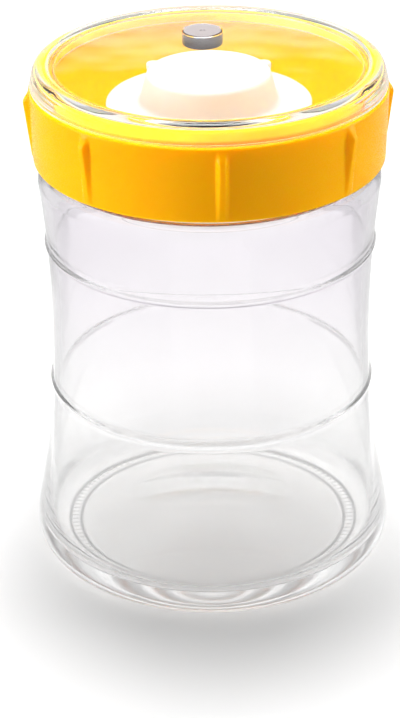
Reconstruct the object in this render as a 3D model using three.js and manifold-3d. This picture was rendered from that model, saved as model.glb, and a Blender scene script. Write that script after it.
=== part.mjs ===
// A vegetable fermenting jar, in millimetres, standing on z = 0 with +Z up and its front towards -Y.
// A waisted glass jar takes a ribbed screw lid. The lid's sunken bowl holds a silicone pump dome over a
// check valve, and a clear cover with a vent plug lifts off the lid's lip.

import * as THREE from 'three';
import { mergeVertices } from 'three/addons/utils/BufferGeometryUtils.js';
import Module from 'manifold-3d';

const wasm = await Module();
wasm.setup();

// Fineness of the round shapes
const roundSides = 48; // flats round a large turned piece
const smallSides = 24; // flats round a small one
const curveSteps = 4; // straight stretches in each curve of an outline
const ridgeSteps = 8; // straight stretches along a thread ridge
const weldDistance = 1e-4; // points closer than this are one point

// Fits
const seatGap = 0.3; // between faces that touch on the real jar
const gasketGap = 0.2; // above and below the uncompressed gasket
const plugGap = 0.5; // bowl inside the jar's mouth, on radius
const coverFit = 0.4; // cover round the lid's lip, and its ring inside the lip, on radius
const ventFit = 0.25; // vent plug in the cover's hole, on radius
const domeFit = 0.4; // dome round its spigot, on radius
const stemFit = 0.4; // valve stem in its hole, on radius
const embed = 1; // how far an added feature reaches into the wall that carries it

// Glass jar
const neckRadius = 45.8; // plain neck, between the thread ridges
const neckWall = 3.3;
const rimChamfer = 0.9;
const shoulderProud = 3.2; // the shoulder stands out this far past the neck
const shoulderRise = 4; // height of the round from shoulder to neck
const bodyHeight = 118; // base to the shoulder's widest ring
const waistHeight = 78; // base to the narrowest ring
const waistDepth = 2.4; // the waist is this much narrower than the shoulder, on radius
const waistReach = 48; // length over which the waist's line leaves the upright, going down
const heelFlare = 6.8; // the heel is this much wider than the waist, on radius
const heelHeight = 7; // base to the heel's widest ring
const heelReach = 10; // length over which the heel's line leaves the upright, going up
const heelInset = 7.8; // the foot ring starts this far inside the heel's widest ring
const footWidth = 5; // width of the flat ring that the jar stands on
const puntDepth = 3; // hollow under the base, at its middle
const puntEase = 0.37; // share of the hollow's radius where its line runs level, at its middle and its edge
const baseThickness = 7; // table to the floor inside
const jarWall = 2.4;
const heelWall = 3.5; // glass is thicker at the heel
const floorRound = 6; // round between floor and wall inside
const innerWaistReach = 36;
const innerHeelReach = 6;
const lowerBeadHeight = 55.3; // raised ring round the lower body
const upperBeadDrop = 18.7; // raised ring under the shoulder, measured down from bodyHeight
const beadRound = 1.3; // section radius of both raised rings
const beadProud = 0.6;

// Screw thread: the same ridge on the jar, facing out, and in the lid, facing in
const threadStarts = 4;
const ridgeThickness = 2;
const ridgeTaper = 0.5; // each flank leans in by this much from root to tip
const ridgeProud = 1.3;
const ridgeGap = 0.4; // ridge tip to the wall that it faces
const flankGap = 0.4; // lid ridge under jar ridge, lid closed
const threadSlack = 1.2; // spare height between neighbouring ridges
const jarRidgeArc = THREE.MathUtils.degToRad(70);
const lidRidgeArc = THREE.MathUtils.degToRad(40);
const rimLand = 4; // plain rim above the jar's ridges

// Screw lid
const lidTurn = THREE.MathUtils.degToRad(3.75); // how far it is screwed past the front, towards +X
const skirtWall = 2.5;
const skirtDraft = 0.5; // the skirt is this much wider at its top, on radius
const skirtTail = 2.13; // skirt below its lowest ridge
const skirtFootGap = 2.8; // skirt's lower edge above the jar's neck root
const skirtRound = 0.8; // rounded upper edge
const deckThickness = 5.1; // underside of the deck to the shoulder that the cover rests on
const lipHeight = 4; // lip above that shoulder
const lipWall = 2.5;
const lipStep = 2.8; // shoulder's width, outside the lip
const lipRound = 0.9;
const lipDepth = 3.5; // upright inside of the lip, down to the bowl's curve
const bowlDepth = 7.8; // shoulder down to the bowl's floor
const bowlFloorThickness = 2.2;
const bowlPlugDepth = 1.3; // bowl's upright side inside the mouth
const bowlSteepness = 2.7; // how far the bowl's curve runs down before it turns in
const bowlLean = 1; // how far it leans in over that length
const bowlFlatness = 7.5; // how far the curve runs level into the floor
const ribCount = 8;
const ribWidth = 3.6;
const ribProud = 1.8; // near the top
const ribFootProud = 0.3; // at the skirt's lower edge
const ribMargin = 0.8; // plain skirt above and below a rib
const ribBrow = 3.5; // length of the rib's slope under its top

// Gasket
const gasketThickness = 1.5;
const gasketMargin = 0.5; // gasket wider than the rim, on each side

// Pump dome, its spigot and its check valve
const domeRadius = 19.2; // cup at its foot
const domeDraft = 1.9; // the cup is this much narrower at its top, on radius
const domeRound = 1.2;
const domeWall = 1.8;
const domeFillet = 1.5; // round between cup and brim
const domeHeadroom = 2.1; // top of the dome to the cover's panel
const brimWidth = 9.8;
const brimThickness = 1.1;
const brimGap = 1.5; // brim to the end of the flat floor
const earCount = 2;
const earBack = THREE.MathUtils.degToRad(118); // each ear from the front, one to each side
const earWidth = 4;
const earReach = 2.4;
const earThickness = 2.2;
const earDrop = 0.6; // top of an ear below the dome's top
const spigotWall = 1.8;
const spigotHeight = 2.4;
const spigotSlots = 4;
const spigotSlotWidth = 3;
const valveRadius = 6;
const valveThickness = 1;
const stemRadius = 1.4;
const bulbRadius = 2.5;
const bulbLength = 2.2;
const gasHoleRadius = 1.3;
const gasHoleCount = 4;
const gasHoleCircle = 3.9;

// Clear cover and vent plug
const coverWall = 2.2;
const coverLipGap = 0.4; // underside of the cover's rim above the lip
const coverRim = 1.8; // thickness of the cover's raised rim
const coverDraft = 1.4; // the cover is this much narrower at its top, on radius
const coverEdge = 2.4; // rounded outer edge, down the wall and across the rim
const panelThickness = 1.2;
const panelDrop = 0.5; // panel's top below the rim's top
const panelSlope = 0.6; // width of the slope between rim and panel
const coverRingWall = 1.4;
const coverRingReach = 2.4; // cover's ring reaches this far down inside the lip
const ventRadius = 5.9;
const ventLength = 4.9;
const ventProud = 0.1; // plug above the panel
const ventChamfer = 0.5;
const ventDimple = 0.9; // radius of the dimple in the plug's top
const ventDimpleDepth = 0.5;
const ventSpacing = 1.4; // plug behind the dome's foot

// Radii and heights that follow from the sizes above
const mouthRadius = neckRadius - neckWall;
const shoulderRadius = neckRadius + shoulderProud;
const waistRadius = shoulderRadius - waistDepth;
const heelRadius = waistRadius + heelFlare;
const footRadius = heelRadius - heelInset;
const puntRadius = footRadius - footWidth;

const ridgeOffset = ridgeThickness + flankGap; // lid ridge's middle below the jar ridge's
const threadPitch = 2 * ridgeOffset + threadSlack;
const threadLead = threadStarts * threadPitch; // rise in one full turn
const climb = (arc) => (threadLead * arc) / (2 * Math.PI);

const neckRoot = bodyHeight + shoulderRise;
const skirtBottom = neckRoot + skirtFootGap;
const lidRidgeMiddle = skirtBottom + skirtTail + ridgeThickness / 2 + climb(lidRidgeArc) / 2;
const jarRidgeMiddle = lidRidgeMiddle + ridgeOffset;
const rimHeight = jarRidgeMiddle + climb(jarRidgeArc) / 2 + ridgeThickness / 2 + rimLand;

const gasketBottom = rimHeight + gasketGap;
const deckUnder = gasketBottom + gasketThickness + gasketGap;
const lidShoulder = deckUnder + deckThickness;
const lipTop = lidShoulder + lipHeight;
const bowlFloor = lidShoulder - bowlDepth;
const bowlUnder = bowlFloor - bowlFloorThickness;
const skirtInner = neckRadius + ridgeProud + ridgeGap;
const skirtOuter = skirtInner + skirtWall;
const skirtOuterTop = skirtOuter + skirtDraft;
const lipOuter = skirtOuterTop - lipStep;
const lipInner = lipOuter - lipWall;
const bowlPlugRadius = mouthRadius - plugGap;
const brimRadius = domeRadius + brimWidth;
const bowlFloorRadius = brimRadius + brimGap;
const spigotRadius = domeRadius - domeWall - domeFit;

const coverRimUnder = lipTop + coverLipGap;
const coverTop = coverRimUnder + coverRim;
const panelTop = coverTop - panelDrop;
const panelUnder = panelTop - panelThickness;
const domeFoot = bowlFloor + seatGap;
const domeTop = panelUnder - domeHeadroom;
const domeTopRadius = domeRadius - domeDraft;

const ventOffset = domeRadius + ventSpacing + ventRadius; // behind the axis
const ventX = -ventOffset * Math.sin(lidTurn);
const ventY = ventOffset * Math.cos(lidTurn);
const ventTop = panelTop + ventProud;
const ventBottom = ventTop - ventLength;

// Solids

/** Turns an outline of (radius, height) points about Z. The front of the circle is at -Y. */
function turned(outline, sides = roundSides) {
  const geometry = new THREE.LatheGeometry(outline.getPoints(curveSteps), sides);
  return geometry.rotateX(Math.PI / 2);
}

/** An upright cylinder between two heights. */
function upright(radius, bottom, top, x = 0, y = 0) {
  const geometry = new THREE.CylinderGeometry(radius, radius, top - bottom, smallSides);
  return geometry.rotateX(Math.PI / 2).translate(x, y, (top + bottom) / 2);
}

/** Swings a shape that lies along +X so that it faces out at an angle from the front. */
function faced(geometry, fromFront) {
  return geometry.rotateZ(fromFront - Math.PI / 2);
}

/** Welds a closed geometry into a solid that can be joined and cut. */
function solidOf(geometry) {
  const bare = new THREE.BufferGeometry();
  bare.setAttribute('position', geometry.getAttribute('position'));
  bare.setIndex(geometry.index);
  const welded = mergeVertices(bare, weldDistance);
  const corners = welded.index.array;
  const triVerts = [];
  for (let i = 0; i < corners.length; i += 3) {
    const [a, b, c] = corners.slice(i, i + 3);
    if (a !== b && b !== c && c !== a) triVerts.push(a, b, c);
  }
  const mesh = new wasm.Mesh({
    numProp: 3,
    vertProperties: Float32Array.from(welded.getAttribute('position').array),
    triVerts: Uint32Array.from(triVerts),
  });
  return new wasm.Manifold(mesh);
}

/** Makes a named mesh from a solid. */
function piece(name, solid, look) {
  const { vertProperties, triVerts } = solid.getMesh();
  const geometry = new THREE.BufferGeometry();
  geometry.setAttribute('position', new THREE.BufferAttribute(vertProperties, 3));
  geometry.setIndex(new THREE.BufferAttribute(triVerts, 1));
  geometry.computeVertexNormals();
  const mesh = new THREE.Mesh(geometry, new THREE.MeshStandardMaterial(look));
  mesh.name = name;
  return mesh;
}

/** One thread ridge: a straight bar carried round the axis and up the helix. */
function threadRidge(rootRadius, tipRadius, middleTurn, arc, middleHeight) {
  const half = ridgeThickness / 2;
  const section = new THREE.Shape();
  section.moveTo(rootRadius, -half);
  section.lineTo(tipRadius, -half + ridgeTaper);
  section.lineTo(tipRadius, half - ridgeTaper);
  section.lineTo(rootRadius, half);
  section.closePath();
  const bar = new THREE.ExtrudeGeometry(section, { depth: 1, steps: ridgeSteps, bevelEnabled: false });
  const points = bar.getAttribute('position');
  for (let i = 0; i < points.count; i++) {
    const along = arc * (0.5 - points.getZ(i));
    const turn = middleTurn + along;
    const radius = points.getX(i);
    const height = middleHeight + climb(along) + points.getY(i);
    points.setXYZ(i, radius * Math.sin(turn), -radius * Math.cos(turn), height);
  }
  return bar;
}

/** Adds one ridge for each start of the thread. */
function withThread(solid, rootRadius, tipRadius, arc, middleHeight) {
  let threaded = solid;
  for (let start = 0; start < threadStarts; start++) {
    const middleTurn = (2 * Math.PI * start) / threadStarts;
    threaded = threaded.add(solidOf(threadRidge(rootRadius, tipRadius, middleTurn, arc, middleHeight)));
  }
  return threaded;
}

// Glass jar

/** Outer line of the jar's body from the heel's widest ring up to the shoulder's. */
function bodyLine() {
  const line = new THREE.Path();
  line.moveTo(heelRadius, heelHeight);
  line.bezierCurveTo(
    heelRadius, heelHeight + heelReach,
    waistRadius, waistHeight - waistReach,
    waistRadius, waistHeight,
  );
  line.quadraticCurveTo(waistRadius, (waistHeight + bodyHeight) / 2, shoulderRadius, bodyHeight);
  return line;
}

/** Radius of the jar's body at a height. */
function bodyRadiusAt(height) {
  const points = bodyLine().getPoints(curveSteps);
  const above = points.findIndex((point) => point.y >= height);
  const [low, high] = [points[above - 1], points[above]];
  return THREE.MathUtils.mapLinear(height, low.y, high.y, low.x, high.x);
}

function jarOutline() {
  const innerShoulder = shoulderRadius - jarWall;
  const innerWaist = waistRadius - jarWall;
  const innerHeel = heelRadius - heelWall;
  const floorEdge = baseThickness + floorRound;
  const outline = new THREE.Path();
  outline.moveTo(0, puntDepth);
  outline.bezierCurveTo(puntEase * puntRadius, puntDepth, (1 - puntEase) * puntRadius, 0, puntRadius, 0);
  outline.lineTo(footRadius, 0);
  outline.absellipse(footRadius, heelHeight, heelInset, heelHeight, -Math.PI / 2, 0);
  for (const curve of bodyLine().curves) outline.curves.push(curve);
  outline.currentPoint.set(shoulderRadius, bodyHeight);
  outline.quadraticCurveTo(shoulderRadius, neckRoot, neckRadius, neckRoot);
  outline.lineTo(neckRadius, rimHeight - rimChamfer);
  outline.lineTo(neckRadius - rimChamfer, rimHeight);
  outline.lineTo(mouthRadius + rimChamfer, rimHeight);
  outline.lineTo(mouthRadius, rimHeight - rimChamfer);
  outline.lineTo(mouthRadius, neckRoot);
  outline.quadraticCurveTo(innerShoulder, neckRoot, innerShoulder, bodyHeight);
  outline.quadraticCurveTo(innerWaist, (waistHeight + bodyHeight) / 2, innerWaist, waistHeight);
  outline.bezierCurveTo(
    innerWaist, waistHeight - innerWaistReach,
    innerHeel, floorEdge + innerHeelReach,
    innerHeel, floorEdge,
  );
  outline.quadraticCurveTo(innerHeel, baseThickness, innerHeel - floorRound, baseThickness);
  outline.lineTo(0, baseThickness);
  return outline;
}

/** A raised ring round the jar's body. */
function bead(height) {
  const outline = new THREE.Path();
  outline.absarc(bodyRadiusAt(height) + beadProud - beadRound, height, beadRound, 0, 2 * Math.PI);
  return turned(outline);
}

function jar() {
  const body = solidOf(turned(jarOutline()));
  const beaded = body.add(solidOf(bead(lowerBeadHeight))).add(solidOf(bead(bodyHeight - upperBeadDrop)));
  const root = neckRadius - embed;
  const threaded = withThread(beaded, root, neckRadius + ridgeProud, jarRidgeArc, jarRidgeMiddle);
  const glass = { color: 0xeef0f4, roughness: 0.05, metalness: 0, transparent: true, opacity: 0.35 };
  return piece('jar', threaded, glass);
}

// Screw lid

function lidOutline() {
  const bowlStart = lipTop - lipDepth;
  const outline = new THREE.Path();
  outline.moveTo(0, bowlUnder);
  outline.lineTo(bowlFloorRadius, bowlUnder);
  outline.lineTo(bowlPlugRadius, deckUnder - bowlPlugDepth);
  outline.lineTo(bowlPlugRadius, deckUnder);
  outline.lineTo(skirtInner, deckUnder);
  outline.lineTo(skirtInner, skirtBottom);
  outline.lineTo(skirtOuter, skirtBottom);
  outline.lineTo(skirtOuterTop, lidShoulder - skirtRound);
  outline.quadraticCurveTo(skirtOuterTop, lidShoulder, skirtOuterTop - skirtRound, lidShoulder);
  outline.lineTo(lipOuter, lidShoulder);
  outline.lineTo(lipOuter, lipTop - lipRound);
  outline.lineTo(lipOuter - lipRound, lipTop);
  outline.lineTo(lipInner + lipRound, lipTop);
  outline.lineTo(lipInner, lipTop - lipRound);
  outline.lineTo(lipInner, bowlStart);
  outline.bezierCurveTo(
    lipInner - bowlLean, bowlStart - bowlSteepness,
    bowlFloorRadius + bowlFlatness, bowlFloor,
    bowlFloorRadius, bowlFloor,
  );
  outline.lineTo(0, bowlFloor);
  return outline;
}

/** A grip rib: it stands out near the top of the skirt and runs out towards the lower edge. */
function gripRib(fromFront) {
  const bottom = skirtBottom + ribMargin;
  const top = lidShoulder - skirtRound - ribMargin;
  const side = new THREE.Shape();
  side.moveTo(skirtOuter - embed, bottom);
  side.lineTo(skirtOuter + ribFootProud, bottom);
  side.lineTo(skirtOuterTop + ribProud, top - ribBrow);
  side.lineTo(skirtOuterTop + ribFootProud, top);
  side.lineTo(skirtOuter - embed, top);
  side.closePath();
  const rib = new THREE.ExtrudeGeometry(side, { depth: ribWidth, bevelEnabled: false });
  rib.translate(0, 0, -ribWidth / 2).rotateX(Math.PI / 2);
  return faced(rib, fromFront);
}

/** The ring on the bowl's floor that the dome fits over, with slots that let the gas out under the brim. */
function spigot() {
  const foot = bowlFloor - embed;
  const top = bowlFloor + spigotHeight;
  let ring = solidOf(upright(spigotRadius, foot, top));
  ring = ring.subtract(solidOf(upright(spigotRadius - spigotWall, foot - embed, top + embed)));
  for (let slot = 0; slot < spigotSlots; slot++) {
    const cut = new THREE.BoxGeometry(2 * spigotWall, spigotSlotWidth, 2 * spigotHeight);
    cut.translate(spigotRadius - spigotWall / 2, 0, bowlFloor + spigotHeight);
    ring = ring.subtract(solidOf(faced(cut, (2 * Math.PI * slot) / spigotSlots)));
  }
  return ring;
}

function lid() {
  let body = solidOf(turned(lidOutline()));
  for (let rib = 0; rib < ribCount; rib++) {
    body = body.add(solidOf(gripRib(lidTurn + (2 * Math.PI * rib) / ribCount)));
  }
  body = withThread(body, skirtInner + embed, skirtInner - ridgeProud, lidRidgeArc, lidRidgeMiddle);
  body = body.add(spigot());
  body = body.subtract(solidOf(upright(stemRadius + stemFit, bowlUnder - embed, bowlFloor + embed)));
  for (let hole = 0; hole < gasHoleCount; hole++) {
    const turn = (2 * Math.PI * hole) / gasHoleCount;
    const bore = upright(gasHoleRadius, bowlUnder - embed, bowlFloor + embed, gasHoleCircle, 0);
    body = body.subtract(solidOf(faced(bore, turn)));
  }
  return piece('lid', body, { color: 0xffb400, roughness: 0.35, metalness: 0 });
}

// Gasket

function lidGasket() {
  const inner = mouthRadius - gasketMargin + plugGap;
  const outer = neckRadius + gasketMargin;
  const outline = new THREE.Path();
  outline.moveTo(inner, gasketBottom);
  outline.lineTo(outer, gasketBottom);
  outline.lineTo(outer, gasketBottom + gasketThickness);
  outline.lineTo(inner, gasketBottom + gasketThickness);
  outline.lineTo(inner, gasketBottom);
  return piece('lid_gasket', solidOf(turned(outline)), { color: 0xf1efe8, roughness: 0.7, metalness: 0 });
}

// Pump dome and check valve

function domeOutline() {
  const brimTop = domeFoot + brimThickness;
  const cupFoot = brimTop + domeFillet;
  const innerTop = domeTop - domeWall;
  const outline = new THREE.Path();
  outline.moveTo(domeRadius - domeWall, domeFoot);
  outline.lineTo(brimRadius, domeFoot);
  outline.lineTo(brimRadius, brimTop);
  outline.lineTo(domeRadius + domeFillet, brimTop);
  outline.quadraticCurveTo(domeRadius, brimTop, domeRadius, cupFoot);
  outline.lineTo(domeTopRadius, domeTop - domeRound);
  outline.quadraticCurveTo(domeTopRadius, domeTop, domeTopRadius - domeRound, domeTop);
  outline.lineTo(0, domeTop);
  outline.lineTo(0, innerTop);
  outline.lineTo(domeTopRadius - domeWall, innerTop);
  outline.lineTo(domeRadius - domeWall, cupFoot);
  outline.lineTo(domeRadius - domeWall, domeFoot);
  return outline;
}

/** A small pull ear at the top edge of the dome. */
function domeEar(fromFront) {
  const plan = new THREE.Shape();
  const half = earWidth / 2;
  const root = domeTopRadius - domeWall / 2;
  const tip = domeTopRadius + earReach - half;
  plan.moveTo(root, -half);
  plan.lineTo(tip, -half);
  plan.absarc(tip, 0, half, -Math.PI / 2, Math.PI / 2);
  plan.lineTo(root, half);
  plan.closePath();
  const settings = { depth: earThickness, bevelEnabled: false, curveSegments: curveSteps };
  const ear = new THREE.ExtrudeGeometry(plan, settings);
  return faced(ear.translate(0, 0, domeTop - earDrop - earThickness), fromFront);
}

function pumpDome() {
  let body = solidOf(turned(domeOutline()));
  for (let ear = 0; ear < earCount; ear++) {
    const side = ear % 2 ? -1 : 1;
    body = body.add(solidOf(domeEar(side * earBack)));
  }
  return piece('pump_dome', body, { color: 0xfbfaf6, roughness: 0.5, metalness: 0 });
}

function checkValve() {
  const discBottom = bowlFloor + seatGap;
  const bulbTop = bowlUnder - seatGap;
  const outline = new THREE.Path();
  outline.moveTo(0, bulbTop - bulbLength);
  outline.lineTo(stemRadius, bulbTop - bulbLength);
  outline.lineTo(bulbRadius, bulbTop);
  outline.lineTo(stemRadius, bulbTop);
  outline.lineTo(stemRadius, discBottom);
  outline.lineTo(valveRadius, discBottom);
  outline.lineTo(valveRadius, discBottom + valveThickness / 2);
  outline.lineTo(stemRadius, discBottom + valveThickness);
  outline.lineTo(0, discBottom + valveThickness);
  const silicone = { color: 0xe9e7e0, roughness: 0.6, metalness: 0 };
  return piece('check_valve', solidOf(turned(outline, smallSides)), silicone);
}

// Clear cover and vent plug

function coverOutline() {
  const inner = lipOuter + coverFit;
  const outer = inner + coverWall;
  const outerTop = outer - coverDraft;
  const bottom = lidShoulder + seatGap;
  const wallTop = coverTop - coverEdge;
  const wallTopOuter = outer - (coverDraft * (wallTop - bottom)) / (coverTop - bottom);
  const ringOuter = lipInner - coverFit;
  const ringInner = ringOuter - coverRingWall;
  const ringBottom = lipTop - coverRingReach;
  const outline = new THREE.Path();
  outline.moveTo(0, panelUnder);
  outline.lineTo(ringInner, panelUnder);
  outline.lineTo(ringInner, ringBottom);
  outline.lineTo(ringOuter, ringBottom);
  outline.lineTo(ringOuter, coverRimUnder);
  outline.lineTo(inner, coverRimUnder);
  outline.lineTo(inner, bottom);
  outline.lineTo(outer, bottom);
  outline.lineTo(wallTopOuter, wallTop);
  outline.quadraticCurveTo(outerTop, coverTop, outerTop - coverEdge, coverTop);
  outline.lineTo(ringOuter + panelSlope, coverTop);
  outline.lineTo(ringOuter, panelTop);
  outline.lineTo(0, panelTop);
  return outline;
}

function cover() {
  const ventHole = upright(ventRadius + ventFit, panelUnder - embed, panelTop + embed, ventX, ventY);
  const body = solidOf(turned(coverOutline())).subtract(solidOf(ventHole));
  const clearPlastic = { color: 0xf4f4f4, roughness: 0.08, metalness: 0, transparent: true, opacity: 0.3 };
  return piece('cover', body, clearPlastic);
}

function ventPlug() {
  const outline = new THREE.Path();
  outline.moveTo(0, ventBottom);
  outline.lineTo(ventRadius, ventBottom);
  outline.lineTo(ventRadius, ventTop - ventChamfer);
  outline.lineTo(ventRadius - ventChamfer, ventTop);
  outline.lineTo(ventDimple, ventTop);
  outline.lineTo(0, ventTop - ventDimpleDepth);
  const silicone = { color: 0x6f6870, roughness: 0.55, metalness: 0 };
  const plug = piece('vent_plug', solidOf(turned(outline, smallSides)), silicone);
  plug.position.set(ventX, ventY, 0);
  return plug;
}

// Assembly

const fermentingJar = new THREE.Group();
fermentingJar.add(jar(), lid(), lidGasket(), pumpDome(), checkValve(), cover(), ventPlug());

export default fermentingJar;
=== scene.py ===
import math

import bmesh
import bpy
from mathutils import Matrix, Quaternion, Vector


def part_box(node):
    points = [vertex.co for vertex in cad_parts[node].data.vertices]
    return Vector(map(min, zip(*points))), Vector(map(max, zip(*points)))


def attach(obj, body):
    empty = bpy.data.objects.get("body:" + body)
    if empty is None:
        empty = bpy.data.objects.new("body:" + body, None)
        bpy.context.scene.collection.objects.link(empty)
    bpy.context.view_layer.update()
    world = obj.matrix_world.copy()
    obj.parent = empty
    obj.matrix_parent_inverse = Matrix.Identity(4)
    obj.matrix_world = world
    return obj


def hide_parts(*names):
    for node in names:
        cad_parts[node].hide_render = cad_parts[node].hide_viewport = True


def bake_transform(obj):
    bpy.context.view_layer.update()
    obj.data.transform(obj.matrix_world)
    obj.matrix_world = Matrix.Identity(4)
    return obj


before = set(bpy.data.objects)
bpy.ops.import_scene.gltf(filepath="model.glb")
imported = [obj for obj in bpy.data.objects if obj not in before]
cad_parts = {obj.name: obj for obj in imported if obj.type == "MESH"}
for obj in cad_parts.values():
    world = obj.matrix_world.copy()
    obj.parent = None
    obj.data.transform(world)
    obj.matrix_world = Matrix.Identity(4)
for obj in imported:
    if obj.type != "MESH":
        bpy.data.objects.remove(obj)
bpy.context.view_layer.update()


# The glass jar
# Clear soda-lime glass, blown in a mould: a waist, two raised rings, a thick heel and a four-start thread.
# It stands on a ring of short moulded ticks round a shallow hollow in its base.

jar_low, jar_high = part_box("jar")
heel_radius = jar_high.x
rim_height = jar_high.z
neck_radius = 0.0458
mouth_radius = 0.0425
shoulder_radius = 0.0490
waist_radius = 0.0466
heel_height = 0.0070
waist_height = 0.0780
shoulder_height = 0.1180
neck_root = 0.1220
foot_radius = heel_radius - 0.0078
foot_width = 0.0050
punt_depth = 0.0030
jar_floor = 0.0070
jar_wall = 0.0024
heel_wall = 0.0035
heel_reach = 0.0100
waist_reach = 0.0480
inner_heel_reach = 0.0060
inner_waist_reach = 0.0360
corner_round = 0.0060
rim_round = 0.0009
bead_heights = (0.0553, 0.0993)
bead_proud = 0.0006
bead_half = 0.0013
jar_sides = 360


def curve(*handles, steps):
    """Points on the Bezier curve that these handles steer. Two handles give a straight line."""
    points = []
    for step in range(steps + 1):
        level = [Vector(handle) for handle in handles]
        while len(level) > 1:
            level = [a.lerp(b, step / steps) for a, b in zip(level, level[1:])]
        points.append(level[0])
    return points


def turned(name, outline, angles):
    """Turns an outline of (radius, height) points about Z into a closed piece, at angles from the front."""
    merge_distance = 1e-6
    form = bmesh.new()
    rings = []
    for radius, height in outline:
        if rings and (Vector((radius, height)) - last).length < merge_distance:
            continue
        last = Vector((radius, height))
        if radius < merge_distance:
            rings.append([form.verts.new((0, 0, height))] * len(angles))
        else:
            places = [(radius * math.sin(a), -radius * math.cos(a), height) for a in angles]
            rings.append([form.verts.new(place) for place in places])
    if rings[0][0] is not rings[0][1]:
        rings.append(rings[0])
    for lower, upper in zip(rings, rings[1:]):
        for i in range(len(angles)):
            j = (i + 1) % len(angles)
            corners = list(dict.fromkeys([lower[i], lower[j], upper[j], upper[i]]))
            if len(corners) > 2:
                form.faces.new(corners)
    bmesh.ops.recalc_face_normals(form, faces=form.faces)
    mesh = bpy.data.meshes.new(name)
    form.to_mesh(mesh)
    form.free()
    piece = bpy.data.objects.new(name, mesh)
    bpy.context.scene.collection.objects.link(piece)
    return piece


def even_angles(sides):
    """Angles all round a turned piece, one for each of its sides."""
    return [2 * math.pi * side / sides for side in range(sides)]


def smoothed(piece, sharp_angle):
    """Shades a piece smooth, with edges sharper than this angle left crisp."""
    piece.data.polygons.foreach_set("use_smooth", [True] * len(piece.data.polygons))
    piece.data.set_sharp_from_angle(angle=math.radians(sharp_angle))


def made_plain(piece):
    """Turns what a piece's modifiers make into its own mesh."""
    bpy.context.view_layer.update()
    made = piece.evaluated_get(bpy.context.evaluated_depsgraph_get())
    mesh = bpy.data.meshes.new_from_object(made)
    piece.modifiers.clear()
    piece.data = mesh


def add(tree, kind, *values, **settings):
    """Adds a node, fills its inputs in order with links or numbers, and returns its first output."""
    node = tree.nodes.new(kind)
    for name, value in settings.items():
        setattr(node, name, value)
    for socket, value in zip(node.inputs, values):
        if isinstance(value, bpy.types.NodeSocket):
            tree.links.new(value, socket)
        elif value is not None:
            socket.default_value = value
    return node.outputs[0]


def math_node(tree, operation, *values):
    return add(tree, "ShaderNodeMath", *values, operation=operation)


def ramp(tree, value, low, high, first=0.0, second=1.0):
    """A smooth change from a first number where the value is low to a second where it is high."""
    return add(tree, "ShaderNodeMapRange", value, low, high, first, second, interpolation_type="SMOOTHSTEP")


def blended(tree, share, first, second):
    """Mixes two colours, each a link or three numbers, by a share from 0 to 1."""
    node = tree.nodes.new("ShaderNodeMix")
    node.data_type = "RGBA"
    tree.links.new(share, node.inputs[0])
    sockets = [socket for socket in node.inputs if socket.type == "RGBA"]
    for socket, colour in zip(sockets, (first, second)):
        if isinstance(colour, bpy.types.NodeSocket):
            tree.links.new(colour, socket)
        else:
            socket.default_value = (*colour, 1)
    return [socket for socket in node.outputs if socket.type == "RGBA"][0]


def length_of(tree, vector):
    measure = tree.nodes.new("ShaderNodeVectorMath")
    measure.operation = "LENGTH"
    tree.links.new(vector, measure.inputs[0])
    return measure.outputs["Value"]


def new_rule(name, inputs):
    """A Geometry Nodes tree with these named numbers as inputs, and where each point lies about the axis."""
    tree = bpy.data.node_groups.new(name, "GeometryNodeTree")
    tree.interface.new_socket("Geometry", in_out="INPUT", socket_type="NodeSocketGeometry")
    for label in inputs:
        tree.interface.new_socket(label, in_out="INPUT", socket_type="NodeSocketFloat")
    tree.interface.new_socket("Material", in_out="INPUT", socket_type="NodeSocketMaterial")
    tree.interface.new_socket("Geometry", in_out="OUTPUT", socket_type="NodeSocketGeometry")
    given = tree.nodes.new("NodeGroupInput").outputs
    place = add(tree, "GeometryNodeInputPosition")
    parts = tree.nodes.new("ShaderNodeSeparateXYZ")
    tree.links.new(place, parts.inputs[0])
    x, y, height = parts.outputs
    flat = add(tree, "ShaderNodeCombineXYZ", x, y, 0.0)
    point = {
        "radius": length_of(tree, flat),
        "height": height,
        "from front": math_node(tree, "ARCTAN2", x, math_node(tree, "MULTIPLY", y, -1.0)),
        "outward": add(tree, "ShaderNodeVectorMath", flat, operation="NORMALIZE"),
    }
    return tree, given, point


def end_rule(tree, given, direction, distance):
    """Moves each point along a direction, and ends the tree in plain geometry with the piece's material."""
    shift = tree.nodes.new("ShaderNodeVectorMath")
    shift.operation = "SCALE"
    if isinstance(direction, bpy.types.NodeSocket):
        tree.links.new(direction, shift.inputs[0])
    else:
        shift.inputs[0].default_value = direction
    tree.links.new(distance, shift.inputs["Scale"])
    moved = tree.nodes.new("GeometryNodeSetPosition")
    tree.links.new(given["Geometry"], moved.inputs["Geometry"])
    tree.links.new(shift.outputs[0], moved.inputs["Offset"])
    real = add(tree, "GeometryNodeRealizeInstances", moved.outputs[0])
    painted = tree.nodes.new("GeometryNodeSetMaterial")
    tree.links.new(real, painted.inputs["Geometry"])
    tree.links.new(given["Material"], painted.inputs["Material"])
    result = tree.nodes.new("NodeGroupOutput")
    tree.links.new(painted.outputs[0], result.inputs[0])


def apply_rule(piece, tree, material, **numbers):
    """Runs a tree on a piece. Each input is set by its socket's identifier."""
    modifier = piece.modifiers.new(tree.name, "NODES")
    modifier.node_group = tree
    labels = {label.replace("_", " "): number for label, number in numbers.items()}
    for socket in tree.interface.items_tree:
        if socket.in_out == "INPUT" and socket.name in labels:
            modifier[socket.identifier] = labels[socket.name]
        if socket.in_out == "INPUT" and socket.name == "Material":
            modifier[socket.identifier] = material
    made_plain(piece)


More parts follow.
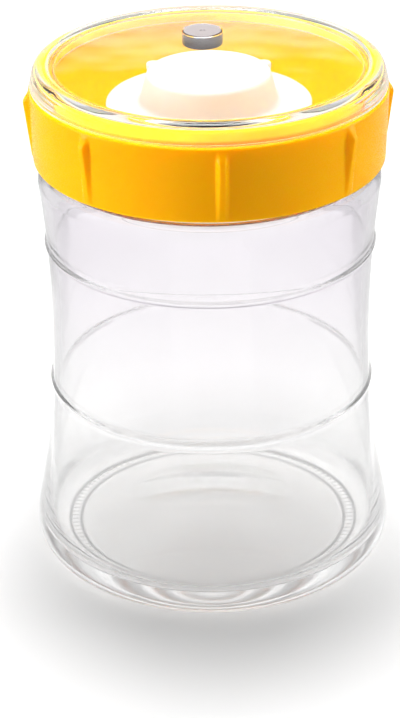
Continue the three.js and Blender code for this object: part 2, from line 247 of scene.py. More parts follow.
def thread_rule():
    """Raises a ridge for each start of a thread out of a turned wall, or into it where proud is negative."""
    labels = ["starts", "lead", "arc", "middle", "thickness", "proud", "wall radius"]
    tree, given, point = new_rule("thread_ridges", labels)
    flank = 0.0007
    run_out = math.radians(5)
    wall_slack = 0.0002
    half_period = math_node(tree, "DIVIDE", math.pi, given["starts"])
    low_end = math_node(tree, "MULTIPLY", half_period, -1.0)
    turn = math_node(tree, "WRAP", point["from front"], half_period, low_end)
    climb = math_node(tree, "MULTIPLY", turn, math_node(tree, "DIVIDE", given["lead"], 2 * math.pi))
    crest = math_node(tree, "ADD", given["middle"], climb)
    off_crest = math_node(tree, "ABSOLUTE", math_node(tree, "SUBTRACT", point["height"], crest))
    half = math_node(tree, "MULTIPLY", given["thickness"], 0.5)
    across = ramp(tree, off_crest, half, math_node(tree, "SUBTRACT", half, flank))
    half_arc = math_node(tree, "MULTIPLY", given["arc"], 0.5)
    full_arc = math_node(tree, "SUBTRACT", half_arc, run_out)
    along = ramp(tree, math_node(tree, "ABSOLUTE", turn), half_arc, full_arc)
    on_wall = math_node(tree, "COMPARE", point["radius"], given["wall radius"], wall_slack)
    ridge = math_node(tree, "MULTIPLY", math_node(tree, "MULTIPLY", across, along), on_wall)
    end_rule(tree, given, point["outward"], math_node(tree, "MULTIPLY", ridge, given["proud"]))
    return tree


def tick_rule():
    """Presses a ring of short radial ticks into the face that the jar stands on."""
    labels = ["count", "depth", "inner radius", "outer radius", "reach"]
    tree, given, point = new_rule("standing_ticks", labels)
    fade = 0.0004
    phase = math_node(tree, "COSINE", math_node(tree, "MULTIPLY", point["from front"], given["count"]))
    groove = math_node(tree, "MULTIPLY_ADD", phase, -0.5, 0.5)
    inner, outer = given["inner radius"], given["outer radius"]
    inside = ramp(tree, point["radius"], inner, math_node(tree, "ADD", inner, fade))
    outside = ramp(tree, point["radius"], outer, math_node(tree, "SUBTRACT", outer, fade))
    under = math_node(tree, "LESS_THAN", point["height"], given["reach"])
    ring = math_node(tree, "MULTIPLY", math_node(tree, "MULTIPLY", inside, outside), under)
    lift = math_node(tree, "MULTIPLY", math_node(tree, "MULTIPLY", groove, ring), given["depth"])
    end_rule(tree, given, (0, 0, 1), lift)
    return tree


def height_in(tree):
    """The height of the shaded point above the jar's foot, in metres."""
    place = tree.nodes.new("ShaderNodeSeparateXYZ")
    tree.links.new(tree.nodes.new("ShaderNodeTexCoord").outputs["Object"], place.inputs[0])
    return place.outputs["Z"]


def clear_finish(
        name, tint, shade, ior, wave_length, wave_depth, roughness=0.0, painted_shade_tint=None, painted_shade_range=(0, 1)):
    """A clear moulded material. Slow waves in it bend what shows through, and lamps shine through it."""
    material = bpy.data.materials.new(name)
    material.use_nodes = True
    tree = material.node_tree
    tree.nodes.clear()
    place = tree.nodes.new("ShaderNodeTexCoord").outputs["Object"]
    waves = tree.nodes.new("ShaderNodeTexNoise")
    waves.inputs["Scale"].default_value = 1 / wave_length
    waves.inputs["Detail"].default_value = 1.0
    tree.links.new(place, waves.inputs["Vector"])
    bump = tree.nodes.new("ShaderNodeBump")
    bump.inputs["Strength"].default_value = 1.0
    bump.inputs["Distance"].default_value = wave_depth
    tree.links.new(waves.outputs["Fac"], bump.inputs["Height"])
    body = tree.nodes.new("ShaderNodeBsdfPrincipled")
    body.inputs["Base Color"].default_value = (*tint, 1)
    # Painted shade: a second, darker tint blended in by height.
    if painted_shade_tint:
        share = ramp(tree, height_in(tree), *painted_shade_range)
        tree.links.new(blended(tree, share, tint, painted_shade_tint), body.inputs["Base Color"])
    body.inputs["Transmission Weight"].default_value = 1.0
    body.inputs["Roughness"].default_value = roughness
    body.inputs["IOR"].default_value = ior
    tree.links.new(bump.outputs["Normal"], body.inputs["Normal"])
    open_to_lamps = tree.nodes.new("ShaderNodeBsdfTransparent")
    open_to_lamps.inputs["Color"].default_value = (*shade, 1)
    in_shadow = tree.nodes.new("ShaderNodeLightPath").outputs["Is Shadow Ray"]
    mix = add(tree, "ShaderNodeMixShader", in_shadow, body.outputs[0], open_to_lamps.outputs[0])
    result = tree.nodes.new("ShaderNodeOutputMaterial")
    tree.links.new(mix, result.inputs["Surface"])
    return material


def body_radius(height):
    """Outer radius of the jar's body with its two raised rings."""
    above = next((i for i, spot in enumerate(body_line) if i and spot.y >= height), len(body_line) - 1)
    low, high = body_line[above - 1], body_line[above]
    plain = low.x + (high.x - low.x) * (height - low.y) / (high.y - low.y)
    ring = 0.0
    for bead in bead_heights:
        off = abs(height - bead) / bead_half
        if off < 1:
            ring += bead_proud * (0.5 + 0.5 * math.cos(math.pi * off)) ** 0.8
    return plain + ring


body_line = curve(
    (heel_radius, heel_height), (heel_radius, heel_height + heel_reach),
    (waist_radius, waist_height - waist_reach), (waist_radius, waist_height), steps=300)
body_line += curve(
    (waist_radius, waist_height), (waist_radius, (waist_height + shoulder_height) / 2),
    (shoulder_radius, shoulder_height), steps=200)[1:]

body_rows = 44
bead_rows = 7
row_height = (shoulder_height - heel_height) / body_rows
body_heights = [heel_height + row_height * row for row in range(body_rows + 1)]
body_heights = [h for h in body_heights if all(abs(h - bead) > bead_half for bead in bead_heights)]
for bead in bead_heights:
    body_heights += [bead + bead_half * row / bead_rows for row in range(-bead_rows, bead_rows + 1)]


def swell(edge, height, rise, rows):
    """The line of a low rounded hill, from its edge to its top on the axis."""
    shares = [row / rows for row in range(rows + 1)]
    return [(edge * (1 - s), height + rise * (0.5 - 0.5 * math.cos(math.pi * s))) for s in shares]


inner_shoulder = shoulder_radius - jar_wall
inner_waist = waist_radius - jar_wall
inner_heel = heel_radius - heel_wall
foot_inner = foot_radius - foot_width
heel_rows = 12

jar_outline = swell(foot_inner, 0, punt_depth, rows=20)[::-1]
jar_outline += curve((foot_inner, 0), (foot_radius, 0), steps=12)
for row in range(1, heel_rows + 1):
    quarter = math.pi / 2 * row / heel_rows
    across = foot_radius + (heel_radius - foot_radius) * math.sin(quarter)
    jar_outline.append((across, heel_height * (1 - math.cos(quarter))))
jar_outline += [(body_radius(h), h) for h in sorted(body_heights)]
jar_outline += curve(
    (shoulder_radius, shoulder_height), (shoulder_radius, neck_root), (neck_radius, neck_root), steps=9)
jar_outline += curve((neck_radius, neck_root), (neck_radius, rim_height - rim_round), steps=34)
jar_outline += curve(
    (neck_radius, rim_height - rim_round), (neck_radius, rim_height),
    (neck_radius - rim_round, rim_height), steps=5)
jar_outline += curve(
    (mouth_radius + rim_round, rim_height), (mouth_radius, rim_height),
    (mouth_radius, rim_height - rim_round), steps=5)
jar_outline += curve(
    (mouth_radius, neck_root), (inner_shoulder, neck_root), (inner_shoulder, shoulder_height), steps=8)
jar_outline += curve(
    (inner_shoulder, shoulder_height), (inner_waist, (waist_height + shoulder_height) / 2),
    (inner_waist, waist_height), steps=12)
corner_top = jar_floor + corner_round
jar_outline += curve(
    (inner_waist, waist_height), (inner_waist, waist_height - inner_waist_reach),
    (inner_heel, corner_top + inner_heel_reach), (inner_heel, corner_top), steps=16)
jar_outline += curve(
    (inner_heel, corner_top), (inner_heel, jar_floor), (inner_heel - corner_round, jar_floor), steps=12)
jar_outline += curve((inner_heel - corner_round, jar_floor), (0, jar_floor), steps=16)

# The glass is painted darker and faintly lavender towards the top: painted shade, not a tint of the glass
# itself.
jar_glass = clear_finish(
    "jar_glass", tint=(0.935, 0.935, 0.935), shade=(0.93, 0.93, 0.93), ior=1.5, wave_length=0.030,
    wave_depth=0.00015, roughness=0.055, painted_shade_tint=(0.872, 0.850, 0.880), painted_shade_range=(0.045, 0.100))
thread = thread_rule()
thread_starts = 4
thread_lead = 0.024
ridge_thickness = 0.0020
ridge_proud = 0.0013
jar = turned("jar_body", jar_outline, even_angles(jar_sides))
apply_rule(
    jar, tick_rule(), jar_glass, count=120, depth=0.0003, inner_radius=foot_inner + 0.0010,
    outer_radius=foot_radius - 0.0014, reach=0.0003)
apply_rule(
    jar, thread, jar_glass, starts=thread_starts, lead=thread_lead, arc=math.radians(70), middle=0.1317,
    thickness=ridge_thickness, proud=ridge_proud, wall_radius=neck_radius)
smoothed(jar, 40)
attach(jar, "jar")
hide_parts("jar")


# The screw lid
# One moulding in yellow polypropylene: a skirt with eight grip ribs and an inner thread, a shoulder, an
# upstanding lip, and a bowl with a slotted spigot and the valve's holes in its floor. The plastic lets some
# light through. The bowl, and more so the lip, are also painted paler than the skirt: painted light for the
# light that shines through the thin plastic there.

lid_low, lid_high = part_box("lid")
lid_turn = math.radians(3.75)
skirt_bottom = lid_low.z
lip_top = lid_high.z
skirt_inner = 0.0475
skirt_outer = 0.0500
skirt_outer_top = 0.0505
lid_shoulder = lip_top - 0.0040
deck_under = lid_shoulder - 0.0051
lip_outer = skirt_outer_top - 0.0028
lip_inner = lip_outer - 0.0025
bowl_start = lip_top - 0.0035
bowl_floor = lid_shoulder - 0.0078
bowl_under = bowl_floor - 0.0022
bowl_floor_radius = 0.0305
bowl_plug_radius = 0.0420
bowl_plug_depth = 0.0013
bowl_lean = 0.0010
bowl_drop = 0.0027
bowl_reach = 0.0075
spigot_clear = 0.0190
rib_count = 8


def rounded(*corners, steps=5):
    """An outline through corners of (radius, height, ease, parts). Each corner is eased over that length, and
    the straight run after it is cut into that many parts. Extra points keep long runs flat to their ends."""
    guard = 0.0003
    points = []
    for i, (radius, height, ease, parts) in enumerate(corners):
        here = Vector((radius, height))
        before = Vector(corners[i - 1][:2])
        after = Vector(corners[(i + 1) % len(corners)][:2])
        if ease > 0:
            start = here + (before - here).normalized() * ease
            end = here + (after - here).normalized() * ease
            points += curve(start, here, end, steps=steps)
        else:
            end = here
            points.append(here)
        next_ease = corners[(i + 1) % len(corners)][2]
        run_end = after + (here - after).normalized() * next_ease
        run = run_end - end
        if parts > 1:
            points += curve(end, run_end, steps=parts)[1:-1]
        elif run.length > 4 * guard and max(here.x, after.x) > 0 and i + 1 < len(corners):
            points += [end + run.normalized() * guard, run_end - run.normalized() * guard]
    return points


def rib_rule():
    """Raises grip ribs out of the lid's skirt: proud near the top, running out towards the lower edge."""
    labels = ["count", "turn", "proud", "foot proud", "bottom", "brow", "top", "width", "least radius"]
    tree, given, point = new_rule("grip_ribs", labels)
    flat_share = 0.28
    foot_fade = 0.0008
    height = point["height"]
    half_period = math_node(tree, "DIVIDE", math.pi, given["count"])
    low_end = math_node(tree, "MULTIPLY", half_period, -1.0)
    turned_from = math_node(tree, "SUBTRACT", point["from front"], given["turn"])
    turn = math_node(tree, "WRAP", turned_from, half_period, low_end)
    off_middle = math_node(tree, "ABSOLUTE", math_node(tree, "MULTIPLY", turn, point["radius"]))
    half = math_node(tree, "MULTIPLY", given["width"], 0.5)
    across = ramp(tree, off_middle, half, math_node(tree, "MULTIPLY", half, flat_share))
    bottom, brow = given["bottom"], given["brow"]
    rise = add(tree, "ShaderNodeMapRange", height, bottom, brow, given["foot proud"], given["proud"])
    start = ramp(tree, height, math_node(tree, "SUBTRACT", bottom, foot_fade), bottom)
    end = ramp(tree, height, given["top"], brow)
    section = math_node(tree, "MULTIPLY", rise, across)
    shape = math_node(tree, "MULTIPLY", section, math_node(tree, "MULTIPLY", start, end))
    on_skirt = math_node(tree, "GREATER_THAN", point["radius"], given["least radius"])
    end_rule(tree, given, point["outward"], math_node(tree, "MULTIPLY", shape, on_skirt))
    return tree


def moulded_finish(
        name, dark, light, roughness, grain_size, grain_depth, mottle_size, sheen_level=0.15, soft=0.0,
        soft_reach=(1, 1, 1)):
    """A moulded plastic or rubber: faintly mottled, with a fine grain in its surface and its gloss."""
    gloss_spread = 0.04
    material = bpy.data.materials.new(name)
    material.use_nodes = True
    tree = material.node_tree
    body = tree.nodes["Principled BSDF"]
    place = tree.nodes.new("ShaderNodeTexCoord").outputs["Object"]
    mottle = tree.nodes.new("ShaderNodeTexNoise")
    mottle.inputs["Scale"].default_value = 1 / mottle_size
    mottle.inputs["Detail"].default_value = 3.0
    tree.links.new(place, mottle.inputs["Vector"])
    tree.links.new(blended(tree, mottle.outputs["Fac"], dark, light), body.inputs["Base Color"])
    grain = tree.nodes.new("ShaderNodeTexNoise")
    grain.inputs["Scale"].default_value = 1 / grain_size
    grain.inputs["Detail"].default_value = 2.0
    tree.links.new(place, grain.inputs["Vector"])
    bump = tree.nodes.new("ShaderNodeBump")
    bump.inputs["Strength"].default_value = 1.0
    bump.inputs["Distance"].default_value = grain_depth
    tree.links.new(grain.outputs["Fac"], bump.inputs["Height"])
    tree.links.new(bump.outputs["Normal"], body.inputs["Normal"])
    gloss = add(
        tree, "ShaderNodeMapRange", grain.outputs["Fac"], 0.3, 0.7, roughness - gloss_spread,
        roughness + gloss_spread)
    tree.links.new(gloss, body.inputs["Roughness"])
    body.inputs["Specular IOR Level"].default_value = sheen_level
    body.inputs["Subsurface Weight"].default_value = soft
    body.inputs["Subsurface Radius"].default_value = soft_reach
    body.inputs["Subsurface Scale"].default_value = 0.001
    return material


def overlaid(material, share, colour):
    """Mixes a second colour over a moulded finish, by a share from 0 to 1."""
    tree = material.node_tree
    body = tree.nodes["Principled BSDF"]
    plain = body.inputs["Base Color"].links[0].from_socket
    tree.links.new(blended(tree, share, plain, colour), body.inputs["Base Color"])


def joined(piece, *others, operation):
    """Joins other solids to a piece, or cuts them out of it."""
    for other in others:
        modifier = piece.modifiers.new(operation, "BOOLEAN")
        modifier.operation = operation
        modifier.solver = "EXACT"
        modifier.object = other
    made_plain(piece)
    for other in others:
        bpy.data.objects.remove(other)


def post(name, radius, bottom, top, x=0, y=0, sides=96):
    """An upright round bar."""
    bar = turned(name, [(0, bottom), (radius, bottom), (radius, top), (0, top)], even_angles(sides))
    bar.data.transform(Matrix.Translation((x, y, 0)))
    return bar


def block(name, low, high, from_front):
    """A block between two corners near +X, swung about Z to face out at this angle from the front."""
    form = bmesh.new()
    bmesh.ops.create_cube(form, size=1)
    for vert in form.verts:
        vert.co = Vector([low[i] if vert.co[i] < 0 else high[i] for i in range(3)])
    mesh = bpy.data.meshes.new(name)
    form.to_mesh(mesh)
    form.free()
    mesh.transform(Matrix.Rotation(from_front - math.pi / 2, 4, "Z"))
    piece = bpy.data.objects.new(name, mesh)
    bpy.context.scene.collection.objects.link(piece)
    return piece


lid_outline = rounded(
    (0, bowl_under, 0, 1),
    (bowl_floor_radius, bowl_under, 0.0010, 1),
    (bowl_plug_radius, deck_under - bowl_plug_depth, 0.0005, 1),
    (bowl_plug_radius, deck_under, 0.0003, 1),
    (skirt_inner, deck_under, 0.0005, 26),
    (skirt_inner, skirt_bottom, 0.0003, 1),
    (skirt_outer, skirt_bottom, 0.0006, 34),
    (skirt_outer_top, lid_shoulder, 0.0008, 1),
    (lip_outer, lid_shoulder, 0.0003, 1),
    (lip_outer, lip_top, 0.0011, 1),
    (lip_inner, lip_top, 0.0011, 1),
    (lip_inner, bowl_start, 0, 1))
lid_outline += curve(
    (lip_inner, bowl_start), (lip_inner - bowl_lean, bowl_start - bowl_drop),
    (bowl_floor_radius + bowl_reach, bowl_floor), (bowl_floor_radius, bowl_floor), steps=20)[1:]
lid_outline += [(spigot_clear, bowl_floor), (0, bowl_floor)]

rib_period = 2 * math.pi / rib_count
rib_reach = math.radians(3.5)
rib_rows = 14
near_rib = [rib_reach * (row / rib_rows) for row in range(-rib_rows, rib_rows + 1)]
between_ribs = [rib_reach + (rib_period - 2 * rib_reach) * row / rib_rows for row in range(1, rib_rows)]
lid_angles = [lid_turn + rib * rib_period + a for rib in range(rib_count) for a in near_rib + between_ribs]

lid_plastic = moulded_finish(
    "lid_plastic", (0.95, 0.41, 0.0), (0.98, 0.435, 0.0), roughness=0.27,
    grain_size=0.0004, grain_depth=0.000008, mottle_size=0.012, sheen_level=0.05, soft=0.85,
    soft_reach=(3.5, 2.0, 0.1))
lid_tree = lid_plastic.node_tree
lid_place = lid_tree.nodes.new("ShaderNodeTexCoord").outputs["Object"]
flat_place = add(lid_tree, "ShaderNodeVectorMath", lid_place, (1, 1, 0), operation="MULTIPLY")
bowl_painted_light = ramp(lid_tree, length_of(lid_tree, flat_place), skirt_inner, lip_inner)
lip_painted_light = ramp(lid_tree, height_in(lid_tree), lid_shoulder + 0.0002, lid_shoulder + 0.0015)
# Painted light: the bowl, and more so the lip and the top of the bowl's wall, are painted paler than the
# skirt.
overlaid(lid_plastic, bowl_painted_light, (1.0, 0.53, 0.0))
overlaid(lid_plastic, lip_painted_light, (1.0, 0.76, 0.0))
lid = turned("lid_body", lid_outline, lid_angles)
apply_rule(
    lid, rib_rule(), lid_plastic, count=rib_count, turn=lid_turn, proud=0.0018, foot_proud=0.0003,
    bottom=skirt_bottom + 0.0012, brow=lid_shoulder - 0.0045, top=lid_shoulder - 0.0006, width=0.0040,
    least_radius=0.0496)
apply_rule(
    lid, thread, lid_plastic, starts=thread_starts, lead=thread_lead, arc=math.radians(40), middle=0.1293,
    thickness=ridge_thickness, proud=-ridge_proud, wall_radius=skirt_inner)

spigot_radius = 0.0170
spigot_inner = spigot_radius - 0.0018
spigot_top = bowl_floor + 0.0024
spigot_foot = bowl_floor - 0.0010
spigot_outline = rounded(
    (spigot_inner, spigot_foot, 0, 1),
    (spigot_radius, spigot_foot, 0, 1),
    (spigot_radius, spigot_top, 0.0003, 1),
    (spigot_inner, spigot_top, 0.0003, 1))
spigot = turned("spigot", spigot_outline, even_angles(100))
past = 0.0010
slot_half = 0.0015
slot_count = 4
slot_low = (spigot_inner - past, -slot_half, bowl_floor + 0.00005)
slot_high = (spigot_radius + past, slot_half, spigot_top + past)
slots = [block("slot", slot_low, slot_high, angle) for angle in even_angles(slot_count)]
joined(spigot, *slots, operation="DIFFERENCE")
joined(lid, spigot, operation="UNION")

stem_hole_radius = 0.0018
gas_hole_radius = 0.0013
gas_hole_circle = 0.0039
holes = [(stem_hole_radius, 0, 0)]
for x, y in ((1, 0), (-1, 0), (0, 1), (0, -1)):
    holes.append((gas_hole_radius, x * gas_hole_circle, y * gas_hole_circle))
bores = [post("hole", radius, bowl_under - past, bowl_floor + past, x, y, sides=32) for radius, x, y in holes]
joined(lid, *bores, operation="DIFFERENCE")
lid.data.materials.clear()
lid.data.materials.append(lid_plastic)
smoothed(lid, 40)
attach(lid, "lid")
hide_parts("lid")


# The lid's gasket
# A flat ring cut from translucent silicone. It lies trapped between the jar's rim and the lid's deck, and the
# thread presses it tight.

gasket_low, gasket_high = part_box("lid_gasket")
gasket_outer = gasket_high.x
gasket_inner = 0.0425
gasket_ease = 0.0003
gasket_outline = rounded(
    (gasket_inner, gasket_low.z, gasket_ease, 1),
    (gasket_outer, gasket_low.z, gasket_ease, 1),
    (gasket_outer, gasket_high.z, gasket_ease, 1),
    (gasket_inner, gasket_high.z, gasket_ease, 1))
gasket_silicone = moulded_finish(
    "gasket_silicone", (0.78, 0.76, 0.70), (0.84, 0.82, 0.77), roughness=0.55,
    grain_size=0.0003, grain_depth=0.000006, mottle_size=0.008)
gasket = turned("gasket_ring", gasket_outline, even_angles(180))
gasket.data.materials.append(gasket_silicone)
smoothed(gasket, 40)
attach(gasket, "lid_gasket")
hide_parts("lid_gasket")


# The check valve
# A soft umbrella, moulded in one from silicone. Its disc covers the gas holes, and its bulb is pulled through
# the bowl's floor to hold it there.

valve_low, valve_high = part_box("check_valve")
valve_radius = valve_high.x
stem_radius = 0.0014
bulb_radius = 0.0025
valve_seat = bowl_floor + 0.0003
bulb_top = bowl_under - 0.0003
valve_outline = rounded(
    (0, valve_low.z, 0, 1),
    (stem_radius, valve_low.z, 0.0004, 1),
    (bulb_radius, bulb_top, 0.0004, 1),
    (stem_radius, bulb_top, 0.0002, 1),
    (stem_radius, valve_seat, 0.0002, 1),
    (valve_radius, valve_seat, 0.0002, 1),
    (valve_radius, valve_seat + 0.0005, 0.0002, 1),
    (stem_radius, valve_high.z, 0.0006, 1),
    (0, valve_high.z, 0, 1))
valve_silicone = moulded_finish(
    "valve_silicone", (0.74, 0.72, 0.66), (0.80, 0.78, 0.73), roughness=0.5,
    grain_size=0.0003, grain_depth=0.000006, mottle_size=0.004)
valve = turned("valve_umbrella", valve_outline, even_angles(64))
valve.data.materials.append(valve_silicone)
smoothed(valve, 40)
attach(valve, "lid")
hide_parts("check_valve")


# The pump dome
# White silicone, moulded like a hat: a flat brim that seals on the bowl's floor, a cup that buckles when it
# is pressed, and two small ears at the back of its top edge.

dome_low, dome_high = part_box("pump_dome")
brim_radius = 0.0290
dome_radius = 0.0192
dome_top_radius = dome_radius - 0.0019
dome_wall = 0.0018
brim_top = dome_low.z + 0.0011
cup_foot = brim_top + 0.0015
ear_back = math.radians(118)
dome_outline = rounded(
    (dome_radius - dome_wall, dome_low.z, 0.0002, 1),
    (brim_radius, dome_low.z, 0.0003, 1),
    (brim_radius, brim_top, 0.0004, 1),
    (dome_radius + 0.0004, brim_top, 0.0015, 1),
    (dome_top_radius, dome_high.z, 0.0013, 1),
    (0, dome_high.z, 0, 1),
    (0, dome_high.z - dome_wall, 0, 1),
    (dome_top_radius - dome_wall, dome_high.z - dome_wall, 0.0006, 1),
    (dome_radius - dome_wall, cup_foot, 0, 1))
dome_silicone = moulded_finish(
    "dome_silicone", (0.80, 0.775, 0.79), (0.83, 0.81, 0.825), roughness=0.48,
    grain_size=0.0004, grain_depth=0.000008, mottle_size=0.010, soft=0.5, soft_reach=(2.5, 2.0, 1.6))
dome = turned("pump_cup", dome_outline, even_angles(180))


def dome_ear(side):
    """A rounded pull ear that stands out from the dome's top edge."""
    half = 0.0020
    reach = dome_top_radius + 0.0024
    top = dome_high.z - 0.0006
    thickness = 0.0022
    tip_rows = 12
    root = dome_top_radius - dome_wall / 2
    form = bmesh.new()
    plan = [(root, -half)]
    for row in range(tip_rows + 1):
        angle = math.pi * (row / tip_rows - 0.5)
        plan.append((reach - half + half * math.cos(angle), half * math.sin(angle)))
    plan.append((root, half))
    face = form.faces.new([form.verts.new((out, across, top - thickness)) for out, across in plan])
    lifted = bmesh.ops.extrude_face_region(form, geom=[face])["geom"]
    upper = [part for part in lifted if isinstance(part, bmesh.types.BMVert)]
    bmesh.ops.translate(form, verts=upper, vec=(0, 0, thickness))
    bmesh.ops.recalc_face_normals(form, faces=form.faces)
    level = [edge for edge in form.edges if abs(edge.verts[0].co.z - edge.verts[1].co.z) < 1e-6]
    bmesh.ops.bevel(form, geom=level, offset=0.0005, segments=3, profile=0.5, affect="EDGES")
    turn = Quaternion((0, 0, 1), side * ear_back - math.pi / 2)
    bmesh.ops.rotate(form, verts=form.verts, cent=(0, 0, 0), matrix=turn.to_matrix())
    mesh = bpy.data.meshes.new("dome_ear")
    form.to_mesh(mesh)
    form.free()
    ear = bpy.data.objects.new("dome_ear", mesh)
    bpy.context.scene.collection.objects.link(ear)
    return ear


joined(dome, dome_ear(1), dome_ear(-1), operation="UNION")
dome.data.materials.clear()
dome.data.materials.append(dome_silicone)
smoothed(dome, 40)
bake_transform(dome)
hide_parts("pump_dome")


# The clear cover
# Polished clear plastic, lifted off by hand: a rim that caps the lid's lip, a ring that centres it inside
# the lip, and a thin flat panel with a hole that holds the vent plug.

cover_low, cover_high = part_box("cover")
cover_bottom = cover_low.z
cover_top = cover_high.z
cover_outer = 0.0503
cover_outer_top = cover_outer - 0.0014
cover_inner = lip_outer + 0.0004
cover_rim_under = lip_top + 0.0004
ring_outer = lip_inner - 0.0004
ring_inner = ring_outer - 0.0014
ring_bottom = lip_top - 0.0024
panel_top = cover_top - 0.0005
panel_under = panel_top - 0.0012
plug_low, plug_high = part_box("vent_plug")
plug_radius = (plug_high.x - plug_low.x) / 2
plug_centre = (plug_low + plug_high) / 2
plug_slack = 0.00005

cover_outline = rounded(
    (0, panel_under, 0, 1),
    (ring_inner, panel_under, 0.0004, 1),
    (ring_inner, ring_bottom, 0.0003, 1),
    (ring_outer, ring_bottom, 0.0003, 1),
    (ring_outer, cover_rim_under, 0.0003, 1),
    (cover_inner, cover_rim_under, 0.0004, 1),
    (cover_inner, cover_bottom, 0.0003, 1),
    (cover_outer, cover_bottom, 0.0004, 1),
    (cover_outer_top, cover_top, 0.0024, 1),
    (ring_outer + 0.0006, cover_top, 0.0003, 1),
    (ring_outer, panel_top, 0.0003, 1),
    (0, panel_top, 0, 1), steps=7)

cover_plastic = clear_finish(
    "cover_plastic", tint=(1.0, 1.0, 1.0), shade=(0.97, 0.97, 0.97), ior=1.49, wave_length=0.020,
    wave_depth=0.00004)
cover = turned("cover_cap", cover_outline, even_angles(300))
hole_radius = plug_radius + plug_slack
hole = post("hole", hole_radius, panel_under - past, panel_top + past, plug_centre.x, plug_centre.y)
joined(cover, hole, operation="DIFFERENCE")
cover.data.materials.clear()
cover.data.materials.append(cover_plastic)
smoothed(cover, 30)
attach(cover, "cover")
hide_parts("cover")


# The vent plug
# A small plug of dark grey silicone, pressed into the cover's panel, with a rounded edge and a dimple in its
# top. Its top is painted paler than its sides: a painted sheen of the light that falls on it.

dimple_radius = 0.0009
dimple_depth = 0.0005
plug_chamfer = 0.0005
plug_ease = 0.0003
plug_outline = rounded(
    (0, plug_low.z, 0, 1),
    (plug_radius, plug_low.z, 0.0004, 1),
    (plug_radius, plug_high.z - plug_chamfer, plug_ease, 1),
    (plug_radius - plug_chamfer, plug_high.z, plug_ease, 1),
    (dimple_radius, plug_high.z, plug_ease, 1),
    (0, plug_high.z - dimple_depth, 0, 1))
plug_silicone = moulded_finish(
    "plug_silicone", (0.030, 0.023, 0.031), (0.036, 0.028, 0.037), roughness=0.20,
    grain_size=0.0003, grain_depth=0.000004, mottle_size=0.005, sheen_level=0.25)
plug_tree = plug_silicone.node_tree
# Painted sheen: faces that look up are painted paler.
sheen_facing = plug_tree.nodes.new("ShaderNodeSeparateXYZ")
plug_tree.links.new(plug_tree.nodes.new("ShaderNodeNewGeometry").outputs["Normal"], sheen_facing.inputs[0])
overlaid(plug_silicone, ramp(plug_tree, sheen_facing.outputs["Z"], 0.80, 0.98), (0.46, 0.41, 0.41))
plug = turned("vent_plug_body", plug_outline, even_angles(96))
plug.data.transform(Matrix.Translation((plug_centre.x, plug_centre.y, 0)))
plug.data.materials.append(plug_silicone)
smoothed(plug, 40)
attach(plug, "vent_plug")
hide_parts("vent_plug")


# The table top
# A plain white sweep, wide enough to fill the picture. It takes the jar's shadow, and it glows a little away
# from the jar, so that it stays white past the reach of the lamps. The glow is held low in an oval round the
# jar, set a little to the right, which paints the edge of the shadow, and it paints a pool of light under the
# jar's base.

floor_size = 6.0


def seen_rays(tree, path):
    """One where the camera looks, straight or by way of a shiny or clear piece, and zero for other light."""
    direct = math_node(tree, "MAXIMUM", path["Is Camera Ray"], path["Is Glossy Ray"])
    return math_node(tree, "MAXIMUM", direct, path["Is Transmission Ray"])


floor_mesh = bpy.data.meshes.new("white_sweep")
floor_form = bmesh.new()
bmesh.ops.create_grid(floor_form, x_segments=1, y_segments=1, size=floor_size / 2)
floor_form.to_mesh(floor_mesh)
floor_form.free()
floor = bpy.data.objects.new("white_sweep", floor_mesh)
bpy.context.scene.collection.objects.link(floor)
sweep = bpy.data.materials.new("white_sweep")
sweep.use_nodes = True
sweep_tree = sweep.node_tree
sweep_tree.nodes.clear()
paper = add(sweep_tree, "ShaderNodeBsdfDiffuse", (0.60, 0.60, 0.60, 1))
path = sweep_tree.nodes.new("ShaderNodeLightPath").outputs
seen = seen_rays(sweep_tree, path)
spot = sweep_tree.nodes.new("ShaderNodeTexCoord").outputs["Object"]
oval = add(sweep_tree, "ShaderNodeVectorMath", spot, (1.25, 1, 1), (-0.006, 0, 0), operation="MULTIPLY_ADD")
distance = length_of(sweep_tree, oval)
# Painted light: a pool of light glows on the floor under the jar's base, a little to the front.
painted_pool_spot = add(sweep_tree, "ShaderNodeVectorMath", spot, (0, 0.020, 0), operation="ADD")
painted_light_pool = ramp(sweep_tree, length_of(sweep_tree, painted_pool_spot), 0.016, 0.044, 0.13, 0.03)
# Painted shadow: the glow is weak near the jar, in an oval set a little to the right, so it sets the shadow's
# edge.
near = ramp(sweep_tree, distance, 0.056, 0.112, 0.0, 0.27)
far = ramp(sweep_tree, distance, 0.16, 0.50, 0.0, 0.12)
glow_height = math_node(sweep_tree, "ADD", painted_light_pool, math_node(sweep_tree, "ADD", near, far))
beyond = ramp(sweep_tree, distance, 0.50, 1.00, 0.0, 0.60)
beyond_seen = math_node(sweep_tree, "MULTIPLY", path["Is Camera Ray"], beyond)
lift = math_node(sweep_tree, "MULTIPLY_ADD", seen, glow_height, beyond_seen)
glow = add(sweep_tree, "ShaderNodeEmission", (1, 1, 1, 1), lift)
both = add(sweep_tree, "ShaderNodeAddShader", paper, glow)
sweep_end = sweep_tree.nodes.new("ShaderNodeOutputMaterial")
sweep_tree.links.new(both, sweep_end.inputs["Surface"])
floor.data.materials.append(sweep)


# The studio
# A large overhead softbox a little behind the jar, a softbox to each side, a weak fill in front, and a white
# room with a dark band under its grey ceiling. A pale card stands close on each side, so that the edges of
# the glass show.

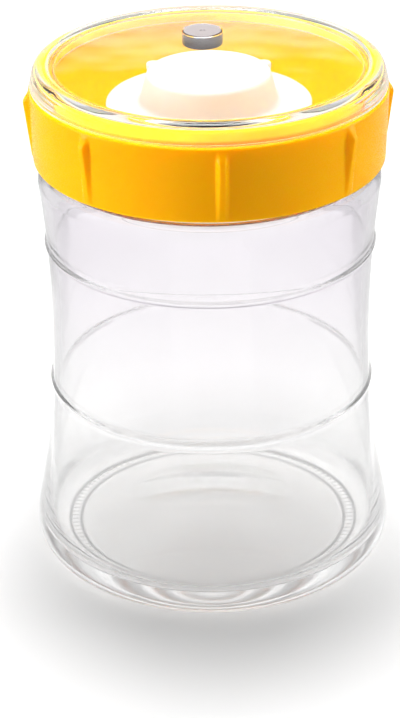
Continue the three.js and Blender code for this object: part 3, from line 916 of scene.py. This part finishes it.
world = bpy.data.worlds.new("white_room")
bpy.context.scene.world = world
world.use_nodes = True
room = world.node_tree
room.nodes.clear()
seen = seen_rays(room, room.nodes.new("ShaderNodeLightPath").outputs)
lit = add(room, "ShaderNodeBackground", (1.0, 1.0, 1.0, 1), 0.18)
bearing = room.nodes.new("ShaderNodeSeparateXYZ")
room.links.new(room.nodes.new("ShaderNodeTexCoord").outputs["Generated"], bearing.inputs[0])
backdrop_end = ramp(room, bearing.outputs["Z"], 0.326, 0.346, 1.0, 0.06)
ceiling = ramp(room, bearing.outputs["Z"], 0.365, 0.39, 0.0, 0.5)
shown = add(room, "ShaderNodeBackground", (1.0, 1.0, 1.0, 1), math_node(room, "ADD", backdrop_end, ceiling))
walls = add(room, "ShaderNodeMixShader", seen, lit, shown)
room_end = room.nodes.new("ShaderNodeOutputWorld")
room.links.new(walls, room_end.inputs["Surface"])


def softbox(name, place, aim, width, height, watts):
    """A square-edged soft lamp that faces a point. It isn't seen through clear pieces."""
    lamp = bpy.data.lights.new(name, "AREA")
    lamp.shape = "RECTANGLE"
    lamp.size = width
    lamp.size_y = height
    lamp.energy = watts
    holder = bpy.data.objects.new(name, lamp)
    holder.location = place
    holder.rotation_euler = (Vector(aim) - Vector(place)).to_track_quat("-Z", "Y").to_euler()
    holder.visible_transmission = False
    bpy.context.scene.collection.objects.link(holder)
    return holder


lit_point = (0, 0, 0.08)
softbox("overhead", (0, 0.26, 1.18), lit_point, 0.60, 0.60, 14.5)
softbox("left", (-1.1, -0.22, 0.25), lit_point, 0.5, 0.5, 13)
softbox("right", (1.1, 0.10, 0.25), lit_point, 0.5, 0.5, 8.5)
fill = softbox("front", (0.0, -1.30, 0.40), lit_point, 0.7, 0.7, 3.4)
fill.visible_glossy = False


def card(name, x, shade):
    """A pale card beside the jar that only its reflections and refractions show."""
    mesh = bpy.data.meshes.new(name)
    corners = [(x, -0.25, 0), (x, 0.35, 0), (x, 0.35, 0.30), (x, -0.25, 0.30)]
    mesh.from_pydata(corners, [], [(0, 1, 2, 3)])
    material = bpy.data.materials.new(name)
    material.use_nodes = True
    tree = material.node_tree
    tree.nodes.clear()
    glow = add(tree, "ShaderNodeEmission", (1, 1, 1, 1), shade)
    result = tree.nodes.new("ShaderNodeOutputMaterial")
    tree.links.new(glow, result.inputs["Surface"])
    mesh.materials.append(material)
    panel = bpy.data.objects.new(name, mesh)
    bpy.context.scene.collection.objects.link(panel)
    panel.visible_camera = False
    panel.visible_diffuse = False
    panel.visible_shadow = False


card("left_card", -0.085, 0.88)
card("right_card", 0.085, 0.82)


# The camera
# It stands in front of the jar and looks down on it, as the photograph does. Its place, its lens and its
# slight roll were fitted to circles of the jar.

photo_height = 718
focal_pixels = 2216.6
eye = Vector((0, -0.5857, 0.3649))
aim = Vector((-0.00336, 0, 0.05821))
roll = math.radians(-0.659)
lens = bpy.data.cameras.new("camera")
lens.sensor_width = 36.0
lens.lens = lens.sensor_width * focal_pixels / photo_height
camera = bpy.data.objects.new("camera", lens)
camera.location = eye
camera.rotation_mode = "QUATERNION"
camera.rotation_quaternion = (aim - eye).to_track_quat("-Z", "Y") @ Quaternion((0, 0, 1), roll)
bpy.context.scene.collection.objects.link(camera)
bpy.context.scene.camera = camera
bpy.context.scene.view_settings.view_transform = "Standard"
bpy.context.scene.cycles.max_bounces = 32
bpy.context.scene.cycles.glossy_bounces = 24
bpy.context.scene.cycles.transmission_bounces = 24
